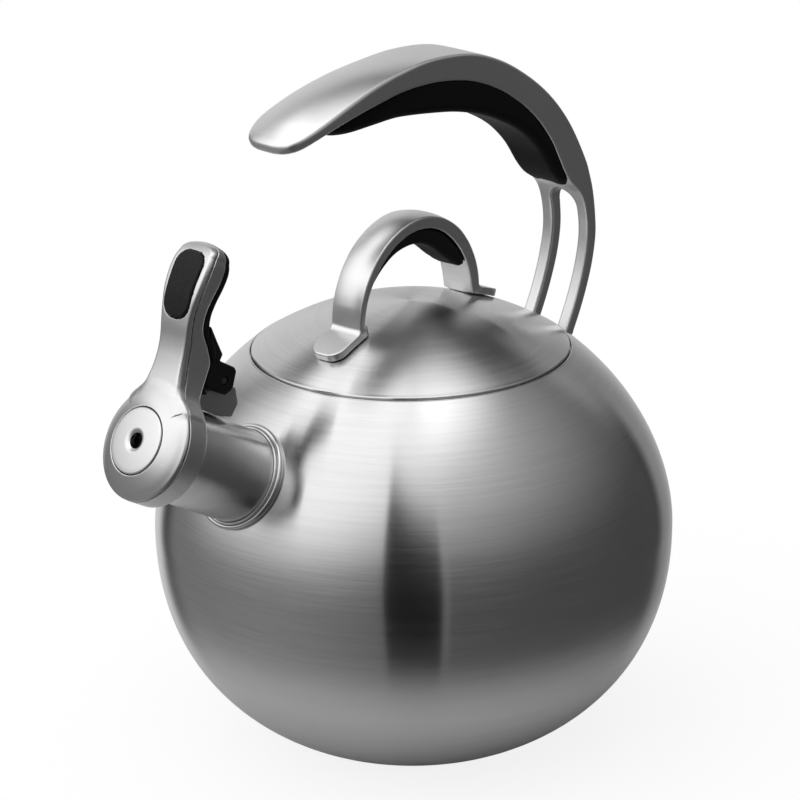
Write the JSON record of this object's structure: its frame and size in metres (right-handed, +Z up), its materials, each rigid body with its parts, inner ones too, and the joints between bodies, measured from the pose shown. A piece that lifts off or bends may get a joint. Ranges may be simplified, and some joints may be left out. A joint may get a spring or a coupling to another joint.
{
  "type": "stovetop whistling kettle",
  "caption": "Round brushed-steel stovetop kettle with an open C-shaped handle, lift-off lid with arched grip, and a lever-opened whistle cap on a short spout.",
  "frame": {"origin": "centre of the flat base disc, on the surface the kettle stands on", "axes": "+Z up, the spout points along -X, the main handle is rooted at +X, the kettle is symmetric about the XZ plane apart from the lid's small turn in its seat"},
  "size_m": [0.2286, 0.19, 0.2553],
  "materials": {
    "brushed_body": "fine brushing round the body",
    "brushed_lid": "concentric brushing",
    "base_steel": "plain rolled steel",
    "spout_steel": "brushed round the tube",
    "satin_metal": "satin, bead blasted casting",
    "screw_steel": "plain",
    "black_rubber": "matte",
    "black_moulding": "satin black nylon",
    "grey_silicone": "matte silicone"
  },
  "bodies": {
    "kettle": {"body_shell": "brushed_body", "base_disc": "base_steel", "spout_tube": "spout_steel", "spout_collar": "spout_steel", "spout_bracket": "satin_metal", "hinge_pin": "screw_steel", "handle_frame": "satin_metal", "handle_grip": "black_rubber", "handle_screw_near": "screw_steel", "handle_screw_far": "screw_steel", "handle_washer_near": "grey_silicone", "handle_washer_far": "grey_silicone"},
    "whistle_cap": {"cap_shell": "satin_metal", "cap_back": "satin_metal", "lever_cover": "black_moulding", "lever_pad": "black_rubber", "whistle_disc": "satin_metal", "whistle_chamber": "base_steel", "cap_seal": "grey_silicone", "torsion_spring": "screw_steel"},
    "lid": {"lid_dome": "brushed_lid", "lid_skirt": "base_steel", "lid_seal": "grey_silicone", "lid_handle": "satin_metal", "lid_handle_grip": "black_rubber", "lid_screw_front": "screw_steel", "lid_screw_rear": "screw_steel"}
  },
  "joints": [
    {"name": "spout_cap_hinge", "type": "hinge", "parent": "kettle", "child": "whistle_cap", "pos_m": [-0.09307, 0, 0.15959], "axis": [0, 1, 0], "range_deg": [0, 45], "stiffness_Nm_per_rad": 0.12, "springref_deg": -20.05, "deforming": ["torsion_spring"]},
    {"name": "lid_lift", "type": "slide", "parent": "kettle", "child": "lid", "axis": [0, 0, 1], "range_m": [0, 0.03]}
  ]
}
